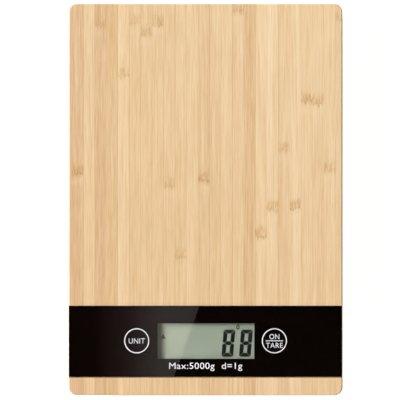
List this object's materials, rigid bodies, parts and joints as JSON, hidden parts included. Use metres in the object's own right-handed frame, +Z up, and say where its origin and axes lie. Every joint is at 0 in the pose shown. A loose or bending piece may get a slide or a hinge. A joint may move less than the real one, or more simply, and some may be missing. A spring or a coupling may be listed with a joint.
{
  "type": "kitchen scale",
  "caption": "Slim kitchen scale with a bamboo weighing board, a flush black glass display band with touch keys, and a low black body on rubber feet.",
  "frame": {"origin": "on the ground under the middle of the scale", "axes": "+Z up, +Y away from the user along the long side, +X to the user's right; the display band is near the -Y edge"},
  "size_m": [0.161, 0.23, 0.018],
  "materials": {
    "bamboo": "satin",
    "display_glass": "polished",
    "black_film": "printed black film",
    "foam_tape": "foam",
    "lcd_glass": "matt polariser",
    "reflector_film": "silvered film",
    "black_abs": "fine spark-eroded texture",
    "conductive_rubber": "striped elastomer",
    "green_laminate": "solder resist",
    "black_epoxy": "moulded",
    "nickel_strip": "nickel plated",
    "zinc_steel": "zinc plated",
    "machined_aluminium": "machined",
    "gauge_film": "amber polyimide",
    "cell_steel": "nickel-plated can",
    "grey_pvc": "extruded",
    "red_pvc": "extruded",
    "black_pvc": "extruded",
    "black_rubber": "moulded"
  },
  "bodies": {
    "base": {"base_shell": "black_abs", "load_cell": "machined_aluminium", "strain_gauge_1": "gauge_film", "strain_gauge_2": "gauge_film", "strain_gauge_3": "gauge_film", "strain_gauge_4": "gauge_film", "fixed_end_screw_1": "zinc_steel", "fixed_end_screw_2": "zinc_steel", "coin_cell": "cell_steel", "positive_contact": "nickel_strip", "negative_contact": "nickel_strip", "signal_cable": "grey_pvc", "battery_wire_red": "red_pvc", "battery_wire_black": "black_pvc", "front_left_foot": "black_rubber", "front_right_foot": "black_rubber", "rear_left_foot": "black_rubber", "rear_right_foot": "black_rubber"},
    "platform": {"platform_board": "bamboo", "display_glass": "display_glass", "display_mask": "black_film", "glass_tape": "foam_tape", "lcd_panel": "lcd_glass", "lcd_reflector": "reflector_film", "lcd_frame": "black_abs", "zebra_strip_front": "conductive_rubber", "zebra_strip_rear": "conductive_rubber", "main_board": "green_laminate", "controller_blob": "black_epoxy", "adc_chip": "black_epoxy", "unit_touch_spring": "nickel_strip", "tare_touch_spring": "nickel_strip", "circuit_screw_1": "zinc_steel", "circuit_screw_2": "zinc_steel", "circuit_screw_3": "zinc_steel", "circuit_screw_4": "zinc_steel", "upper_frame": "black_abs", "frame_screw_1": "zinc_steel", "frame_screw_2": "zinc_steel", "frame_screw_3": "zinc_steel", "frame_screw_4": "zinc_steel", "frame_screw_5": "zinc_steel", "frame_screw_6": "zinc_steel", "load_bracket": "zinc_steel", "bracket_screw_1": "zinc_steel", "bracket_screw_2": "zinc_steel", "bracket_screw_3": "zinc_steel", "bracket_screw_4": "zinc_steel", "live_end_screw_1": "zinc_steel", "live_end_screw_2": "zinc_steel"},
    "battery_door": {"battery_door": "black_abs"}
  },
  "joints": [
    {"name": "platform_deflection", "type": "slide", "parent": "base", "child": "platform", "axis": [0, 0, 1], "range_m": [-0.001, 0], "stiffness_N_per_m": 61300, "springref_m": 0.00006, "deforming": ["load_cell"]},
    {"name": "battery_door_hinge", "type": "hinge", "parent": "base", "child": "battery_door", "pos_m": [-0.044, 0.0167, 0.0015], "axis": [1, 0, 0], "range_deg": [0, 75]}
  ]
}
